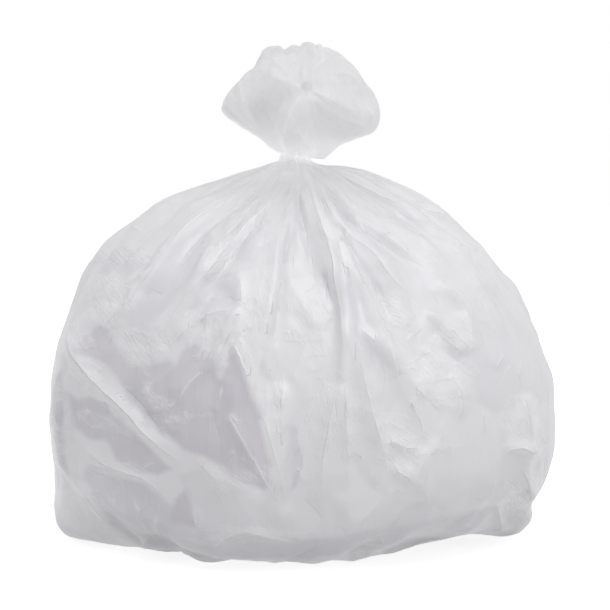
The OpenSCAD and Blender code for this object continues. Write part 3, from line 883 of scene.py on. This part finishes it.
# Film between creases, in cells of one shade each: fainter on the front, and none at the neck
def cellShade(net, creases, plan):
    stretch = np.array(plan["stretch"])
    wander = noiseColumns(creases.shape, 5, 7, 3) * plan["wander"]
    seeds = creases.points[rng.integers(0, len(creases.points), plan["cells"])] * stretch
    gaps = np.sqrt((((creases.points + wander) * stretch)[:, None] - seeds) ** 2 @ np.ones(3))
    shade = rng.uniform(*plan["cellShades"], plan["cells"])[gaps.argmin(axis=1)]
    shade = blur(shade.reshape(creases.shape), 0.7, 0.7).ravel() * (1 - creases.facing() * 0.8)
    return shade * smoothStep((1 - upOf(net).ravel()) / 0.2)


# Crinkles run along their own grain, kept as places along and across it in pixels or mm. A patch lies
# over another where it covers more
class Grain:
    def __init__(self, shape):
        self.shape = shape
        self.places = np.zeros((shape[0] * shape[1], 3))
        self.covered = np.zeros(len(self.places))
        self.second = np.zeros(len(self.places))
        self.ragged = (noiseNet(shape, 1.6, 2.2) * 0.35).ravel()

    def lay(self, along, across, size, angle, mask, number):
        c, s = math.cos(math.radians(angle)), math.sin(math.radians(angle))
        inside = 1.4 - np.hypot(along / size[0], across / size[1]) + self.ragged
        covered = mask * smoothStep(inside * 1.2)
        mine = covered > self.covered
        self.second = np.where(mine, self.covered, np.maximum(self.second, covered))
        self.covered[mine] = covered[mine]
        self.places[mine, 0] = (along * c - across * s)[mine]
        self.places[mine, 1] = (along * s + across * c)[mine]
        self.places[mine, 2] = number

    # Where two patches meet the crinkles fade out
    def crinkled(self):
        number = self.places[:, 2].reshape(self.shape)
        apart = np.zeros(self.shape, dtype=bool)
        for down in (-1, 0, 1):
            for across in (-1, 0, 1):
                apart |= np.roll(number, (down, across), axis=(0, 1)) != number
        share = self.covered * smoothStep((self.covered - self.second - 0.03) / 0.2)
        share[apart.ravel()] = 0
        return share


def layPatches(net, creases, patches, plan):
    rows, columns = net.shape[:2]
    columnStep, rowStep = stepsOf(net)
    facing = creases.facing()
    spots = seenAt(creases.points)
    grain = Grain(creases.shape)
    for k, (place, size, angle, count, high) in enumerate(patches.values()):
        along, across = (spots - np.array(place)).T
        grain.lay(along, across, size, angle, facing * min(1, high / 1.5), k * 37.0)
    rowAt, columnAt = np.mgrid[0:rows, 0:columns].reshape(2, -1)
    for k in range(plan["patches"]):
        row, column = rng.integers(8, int(rows * 0.85)), rng.integers(0, columns)
        across = (rowAt - row) * rowStep[row, column] / mm
        turned = (columnAt - column + columns / 2) % columns - columns / 2
        size = rng.uniform(*plan["patchSizes"], 2)
        angle = rng.uniform(0, 180)
        grain.lay(turned * columnStep[row, column] / mm, across, size, angle, 1 - facing, k * 53.0 + 2000)
    return grain


shade = layShades(cellShade(net, creases, body["seeded"]), body["shades"], creases, 1.0, (7, 4))
grain = layPatches(net, creases, body["patches"], body["seeded"])
up = upOf(net).ravel()
keepOnMesh(piece, {
    "crinkle": grain.crinkled(),
    "grain": grain.places,
    "shade": shade,
    # Gathered film towards the neck: it gives the gathers' bumps and whitens the film, partly as painted
    # light lifting the shade there
    "gather": smoothStep((up - 0.6) / 0.4),
    "thin": smoothStep((up - 0.8) / 0.17),
    "glow": paintedGlowAtNeck(net),
    "around": aroundAndUp(net),
    "lineGap": creases.lineGap / mm,
    "lineHigh": creases.lineHigh / mm,
})
print("body finished")

# Loose end above the tie
looseEnd = {
    "columns": 96,
    "rows": 33,
    "frontCrowding": 0.2,
    "centre": (0, 0, 385 * mm),
    "fromPolar": math.radians(21),
    "toPolar": math.radians(176),
    "blur": (0.7, 1.4),
    "raised": ((270, -2, 5), (283, 4, 4.5), (291, 3, 4), (305, 3, 12), (322, 6, 5)),
    "raisedAbove": (405, 15),
    "neckRings": ((326.5, 7), (330, 10), (333.5, 12), (336.5, 13), (340, 15)),
    "buckles": ((60, 0.4, 0.015, 3), (20, 0.15, 0.012, 2), (6, 0.08, 0.01, 2)),  # last: the furthest it moves
    "first": (4, 0.8, 1.3, math.inf),  # folds: pieces of the curve, share, wider, widest
    "again": (4, 0.35, 1, 2.0),
    "facets": (160, 0.08, 0.92, 30, 0.8, 0.9, 3.5),
    "crinkled": 0.7,
    "gathered": 0.3,
}
looseEnd["bulges"] = {
    "leftUpper": (246, 70, -5, 22),
    "leftTip": (222, 104, -4, 20),
    "leftLow": (256, 136, 1, 18),
    "rightLow": (348, 150, -8, 16),
    "rightTip": (378, 128, 6, 14),
    "topLeft": (268, 50, 5, 8),
    "topLeftDip": (282, 52, 6, 8),
    "topMiddle": (292, 45, 5, 9),
    "top": (308, 40, 5, 8),
    "topRightDip": (320, 49, 6, 7),
    "topRight": (328, 46, 6, 8),
}
looseEnd["folds"] = {
    "doubleTop": (2.5, 1.5, 1.2, (308, 88), (322, 96), (337, 103), (350, 112), (364, 122)),
    "doubleValley": (-2.5, 1, 1, (309, 91), (324, 101), (340, 109), (364, 125)),
    "doubleLow": (2.5, 1.2, 1.5, (308, 93), (320, 102), (332, 110), (346, 118), (360, 128)),
    "wedgeRight": (3, 7, 1.2, (307, 92), (312, 105), (316, 122), (319, 142)),
    "wedgeLeft": (3, 1.2, 7, (302, 93), (293, 107), (287, 127), (284, 147)),
    "dimple": (-5, 3, 3, (303, 86), (306, 90), (309, 93)),
    "flapTop": (3, 1.2, 8, (318, 143), (332, 139), (347, 137), (366, 134)),
    "ribbonTop": (3, 1.5, 4, (268, 56), (280, 67), (292, 79), (304, 88)),
    "ribbonLow": (2.5, 4, 1.5, (268, 71), (282, 80), (295, 86), (305, 90)),
    "topRidge": (3, 3, 1.5, (306, 87), (303, 75), (306, 62), (316, 51), (322, 45)),
    "topRidgeTwo": (2.5, 1.5, 3, (307, 87), (311, 75), (321, 64), (330, 52)),
    "topFacet": (2, 2, 2, (294, 54), (300, 48), (313, 47), (308, 56), (296, 57)),
    "rightLoop": (2, 1.5, 3, (328, 74), (344, 73), (356, 80), (356, 90), (345, 93)),
    "rightUpper": (2, 2, 3, (332, 50), (346, 64), (358, 80), (368, 98)),
    "rightEdge": (2.5, 2, 2.5, (362, 100), (371, 116), (370, 132)),
    "leftBow": (2.5, 2, 4, (240, 78), (242, 98), (254, 118), (270, 134)),
    "leftLine": (2, 2, 2, (228, 92), (240, 112), (256, 126), (276, 144)),
    "leftUpper": (2, 3, 2, (252, 66), (246, 84), (254, 100)),
    "lowLeft": (-2, 2, 3, (262, 100), (268, 118), (280, 136)),
}
looseEnd["shades"] = {
    "leftGrey": (-0.4, (247, 87), (270, 72), (287, 87), (297, 102), (287, 112), (282, 130), (281, 150),
        (262, 137), (247, 112)),
    "wedge": (-0.15, (297, 97), (310, 100), (317, 122), (317, 140), (300, 152), (284, 152), (282, 137),
        (290, 115)),
    "rightGrey": (-0.35, (310, 100), (355, 122), (365, 135), (320, 142), (317, 122)),
    "doubleWhite": (0.5, (307, 90), (340, 105), (370, 123), (358, 124), (330, 112), (307, 97)),
    "leftTip": (0.4, (224, 97), (232, 90), (242, 95), (252, 115), (260, 130), (250, 127), (227, 107)),
    "rightEdge": (0.4, (365, 100), (377, 105), (379, 122), (365, 132), (362, 115)),
    "flap": (0.6, (312, 145), (355, 140), (340, 150), (315, 162), (305, 155)),
    "topLeft": (0.3, (265, 52), (287, 45), (305, 40), (310, 57), (302, 80), (290, 82), (272, 65)),
    "ribbon": (0.5, (270, 67), (287, 72), (302, 90), (290, 82), (277, 80)),
    "topRight": (0.35, (320, 45), (332, 47), (355, 67), (352, 90), (330, 80), (315, 67)),
}


def buckleLoose(net, steps, noise, grow, limit):
    up = upOf(net)
    calm = smoothStep(up / 0.1) * smoothStep((1 - up) / 0.1)
    return buckle(net, steps, noise, (1.5, 1.5), grow, grow, calm, limit)


rays, reaches = castNet(looseEnd)
net = np.array(looseEnd["centre"]) + rays * blur(reaches, *looseEnd["blur"])[..., None]
net = bulge(net, looseEnd["bulges"])
begin, far = looseEnd["raisedAbove"]
net = raised(net, looseEnd["raised"], smoothStep((net[..., 2] / mm - begin) / far))
net = np.vstack((drawnRings(net[0], looseEnd["neckRings"]), net))
net = refine(buckleLoose(net, *looseEnd["buckles"][0]))
creases = Creases(net)
creases.layFolds(looseEnd["folds"], *looseEnd["first"])
net = refine(buckleLoose(creases.creased(), *looseEnd["buckles"][1]))
creases = Creases(net)
creases.layFolds(looseEnd["folds"], *looseEnd["again"])
seedFacets(creases, net, *looseEnd["facets"])
net = buckleLoose(creases.creased(), *looseEnd["buckles"][2])
print("loose end laid")

loose = filmObject("bag_loose_end", net, bottom=tuple(net[0].mean(axis=0)), top=tuple(net[-1].mean(axis=0)))
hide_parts("tied_bag")
crinkled = smoothStep((noiseNet(creases.shape, 6, 8) + 0.4) / 0.8).ravel() * looseEnd["crinkled"]
shade = (noiseNet(creases.shape, 8, 10) * 0.25).ravel()
around = aroundAndUp(net)
keepOnMesh(loose, {
    "crinkle": crinkled,
    "grain": np.stack((around[:, 2] / mm, around[:, 0] * 40, around[:, 1] * 40), axis=1),
    "shade": layShades(shade, looseEnd["shades"], creases, 0.8, (3, 3)),
    "glow": paintedGlowAtNeck(net),
    "gather": np.full(len(around), looseEnd["gathered"]),
    "thin": np.full(len(around), 1.0),
    "around": around,
    "lineGap": creases.lineGap / mm,
    "lineHigh": creases.lineHigh / mm,
})
print("loose end finished")


# Shader maths: a wrapped socket takes + - * / as Math nodes
class Value:
    def __init__(self, tree, socket):
        self.tree = tree
        self.socket = socket

    def join(self, operation, first, second):
        node = self.tree.nodes.new("ShaderNodeMath")
        node.operation = operation
        for slot, given in zip(node.inputs, (first, second)):
            if isinstance(given, Value):
                self.tree.links.new(given.socket, slot)
            else:
                slot.default_value = given
        return Value(self.tree, node.outputs[0])

    def __add__(self, other):
        return self.join("ADD", self, other)

    def __radd__(self, other):
        return self.join("ADD", other, self)

    def __sub__(self, other):
        return self.join("SUBTRACT", self, other)

    def __rsub__(self, other):
        return self.join("SUBTRACT", other, self)

    def __mul__(self, other):
        return self.join("MULTIPLY", self, other)

    def __rmul__(self, other):
        return self.join("MULTIPLY", other, self)

    def __truediv__(self, other):
        return self.join("DIVIDE", self, other)

    def __rtruediv__(self, other):
        return self.join("DIVIDE", other, self)

    def most(self, other):
        return self.join("MAXIMUM", self, other)

    def least(self, other):
        return self.join("MINIMUM", self, other)

    def size(self):
        return self.join("ABSOLUTE", self, 0.0)

    def toPower(self, other):
        return self.join("POWER", self, other)

    def clipped(self):
        return self.most(0.0).least(1.0)


class Finish:
    def __init__(self, name, tree=None):
        if tree is None:
            self.material = bpy.data.materials.new(name)
            self.material.use_nodes = True
            tree = self.material.node_tree
        self.tree = tree
        self.tree.nodes.clear()

    # Adds a node: its settings first, then its sockets, by name or number
    def node(self, kind, settings=None, sockets=None, output=0):
        node = self.tree.nodes.new("ShaderNode" + kind)
        for key, given in (settings or {}).items():
            setattr(node, key, given)
        for key, given in (sockets or {}).items():
            if isinstance(given, Value):
                self.tree.links.new(given.socket, node.inputs[key])
            else:
                node.inputs[key].default_value = given
        return Value(self.tree, node.outputs[output]) if node.outputs else None

    def mixColour(self, share, first, second):
        return self.node("Mix", {"data_type": "RGBA"}, {0: share, 6: first, 7: second}, 2)

    def vector(self, operation, first, second):
        slot = 3 if operation == "SCALE" else 1
        return self.node("VectorMath", {"operation": operation}, {0: first, slot: second})


# The film: colours, among them painted shade and a painted glow, heights of its fine creases in metres, and
# how much light comes through
filmLook = {
    "plain": (0.742, 0.737, 0.758, 1),
    "white": (0.88, 0.88, 0.888, 1),
    # Colour of film lying on what is inside, also used for the painted shade
    "clungAndShaded": (0.52, 0.498, 0.548, 1),
    "through": (0.915, 0.915, 0.92, 1),
    # Colour of the painted glow that lifts the shade by the neck
    "glow": (0.6, 0.6, 0.606),
    "roughness": (0.26, 0.16),  # least, and what noise adds
    "coat": (0.25, 0.12),  # weight and roughness
    "throughShare": 0.42,
    "throughMore": 0.23,  # where the film is thin
    # throughLess also lets less light through in the painted shade
    "throughLess": 0.26,  # where it lies on what is inside
    "crumpleScales": (75, 170),
    "crumpleShove": 0.012,
    "crumpleHigh": 0.0011,
    "lineHigh": 0.0005,
    "lineWide": 0.6,
    "grainBend": 8.0,
    "streaks": (0.02, 0.26, 1),  # stretch along and across the grain
    "facets": (0.05, 0.14, 1),
    "streakHigh": 0.0003,
    "gatherStretch": (1, 1, 0.25),
    "gatherHigh": 0.0007,
    "swellHigh": 0.0006,
}


def filmFinish():
    look = Finish("film")

    def kept(name, output="Fac"):
        return look.node("Attribute", {"attribute_name": name}, output=output)

    place = look.node("TexCoord", output="Object")
    crinkle, gather, shade, thin = kept("crinkle"), kept("gather"), kept("shade"), kept("thin")
    lineGap, lineHigh = kept("lineGap"), kept("lineHigh")

    def noise(scale, detail=2.0, where=place, output="Fac"):
        return look.node("TexNoise", None, {"Vector": where, "Scale": scale, "Detail": detail}, output)

    def cells(scale, where, feature="F1"):
        return look.node("TexVoronoi", {"feature": feature}, {"Vector": where, "Scale": scale}, "Distance")

    def crests(value, sharp):
        return (1 - (value * 2 - 1).size() * sharp).clipped()

    # Crumples everywhere, crinkles along their grain, gathers that run up the bag
    shove = look.vector("SCALE", noise(40, 2, output="Color"), filmLook["crumpleShove"])
    shoved = look.vector("ADD", place, shove)
    coarse, fine = (cells(scale, shoved) for scale in filmLook["crumpleScales"])
    crumple = coarse + fine * 0.4
    bend = look.vector("SCALE", noise(14, 1, output="Color"), filmLook["grainBend"])
    grain = look.vector("ADD", kept("grain", "Vector"), bend)
    streaks = crests(noise(1, 2, look.vector("MULTIPLY", grain, filmLook["streaks"])), 4.5)
    facets = cells(1.0, look.vector("MULTIPLY", grain, filmLook["facets"]), "DISTANCE_TO_EDGE")
    crinkled = (streaks * 0.75 + (1 - facets * 12).clipped() * 0.7) * crinkle
    tall = look.vector("MULTIPLY", kept("around", "Vector"), filmLook["gatherStretch"])
    gathers = crests(noise(70, 2, tall), 3.5) * 0.6 + crests(noise(170, 2, tall), 3.0) * 0.35
    crest = lineHigh * (1 / ((lineGap / filmLook["lineWide"]).toPower(2) + 1))
    high = crumple * (crinkle * 0.4 + 0.12) * filmLook["crumpleHigh"] + crinkled * filmLook["streakHigh"]
    high = high + gathers * (gather * 0.9 + 0.05) * filmLook["gatherHigh"]
    high = high + (crest.most(0) + crest.least(0) * 0.5) * filmLook["lineHigh"]
    high = high + noise(30, 3) * filmLook["swellHigh"]
    bump = look.node("Bump", None, {"Height": high, "Distance": 1.0, "Strength": 1.0})

    # Colour: darker where the film lies on what is inside and where painted shade is laid, whiter where it is
    # creased or gathered, partly as painted light
    mottle = (noise(22, 4) - 0.5) * 0.5
    # Valley lines darken a little: painted shade in the creases
    darker = (0 - shade - crest.least(0) * 0.2 + mottle * 0.8).clipped()
    # Crests and crinkles are whiter: stress-whitened film with a painted highlight. Gathered film is whiter
    # too, with painted light that lifts the shade near the neck
    whiter = shade.most(0) * 0.7 + crinkle * 0.05 + crinkled * 0.3 + gather * 0.25 + crest.most(0) * 0.65
    whiter = (whiter + gathers * (gather * 0.5 + 0.12) + mottle * 0.3).clipped()
    colour = look.mixColour(darker, filmLook["plain"], filmLook["clungAndShaded"])
    colour = look.mixColour(whiter, colour, filmLook["white"])
    least, more = filmLook["roughness"]
    coat, coatRoughness = filmLook["coat"]
    surface = look.node("BsdfPrincipled", None, {
        "Base Color": colour,
        "Roughness": least + noise(24, 2) * more,
        "IOR": 1.5,
        "Normal": bump,
        "Coat Weight": coat,
        "Coat Roughness": coatRoughness,
        # Painted glow: emission that stands in for light coming through the film by the neck
        "Emission Color": look.vector("SCALE", filmLook["glow"], kept("glow")),
        "Emission Strength": 1.0,
    })
    through = look.node("BsdfTranslucent", None, {"Color": filmLook["through"], "Normal": bump})
    share = filmLook["throughShare"] + thin * filmLook["throughMore"] - darker * filmLook["throughLess"]
    both = look.node("MixShader", None, {0: share, 1: surface, 2: through})
    look.node("OutputMaterial", None, {"Surface": both})
    return look.material


film = filmFinish()
for each in (piece, loose):
    each.data.materials.append(film)
print("film finished")

# White studio: the camera and reflections see plain white, and the floor keeps the shadow
studio = {
    "floor": (0.5, 0.5, 0.5, 1),
    "floorRoughness": 0.9,
    "floorGlow": (0.75, 0.75, 0.75, 1),
    "floorHalf": 6,
    "around": (0.8, 0.8, 0.8, 1),
    "lampsAim": (0, 0, 0.2),
    "lamps": {  # place, size and energy
        "above": ((0.5, -0.9, 2.0), 1.4, 20),
        "right": ((1.6, -1.6, 1.0), 1.0, 3),
    },
}


# One for rays of the camera and of reflections, nought for light that falls on the bag
def seenPlain(look):
    kinds = ("Is Camera Ray", "Is Glossy Ray", "Is Transmission Ray")
    camera, glossy, through = (look.node("LightPath", output=kind) for kind in kinds)
    return camera.most(glossy).most(through)


half = studio["floorHalf"]
floorMesh = bpy.data.meshes.new("floor")
corners = [(-half, -half, 0), (half, -half, 0), (half, half, 0), (-half, half, 0)]
floorMesh.from_pydata(corners, [], [(0, 1, 2, 3)])
floor = addObject("floor", floorMesh)
floorLook = Finish("floor")
surface = floorLook.node("BsdfPrincipled", None, {
    "Base Color": studio["floor"],
    "Roughness": studio["floorRoughness"],
    "Emission Color": floorLook.mixColour(seenPlain(floorLook), (0, 0, 0, 1), studio["floorGlow"]),
    "Emission Strength": 1.0,
})
floorLook.node("OutputMaterial", None, {"Surface": surface})
floorMesh.materials.append(floorLook.material)

world = bpy.data.worlds.new("world")
bpy.context.scene.world = world
world.use_nodes = True
worldLook = Finish("world", world.node_tree)
plain = worldLook.mixColour(seenPlain(worldLook), studio["around"], (1, 1, 1, 1))
background = worldLook.node("Background", None, {"Color": plain, "Strength": 1.0})
worldLook.node("OutputWorld", None, {"Surface": background})

for name, (place, size, energy) in studio["lamps"].items():
    light = bpy.data.lights.new(name, "AREA")
    light.energy = energy
    light.size = size
    lamp = addObject(name, light)
    lamp.location = place
    lamp.rotation_euler = (Vector(studio["lampsAim"]) - lamp.location).to_track_quat("-Z", "Y").to_euler()
bpy.context.scene.view_settings.view_transform = "Standard"
print("studio lit")
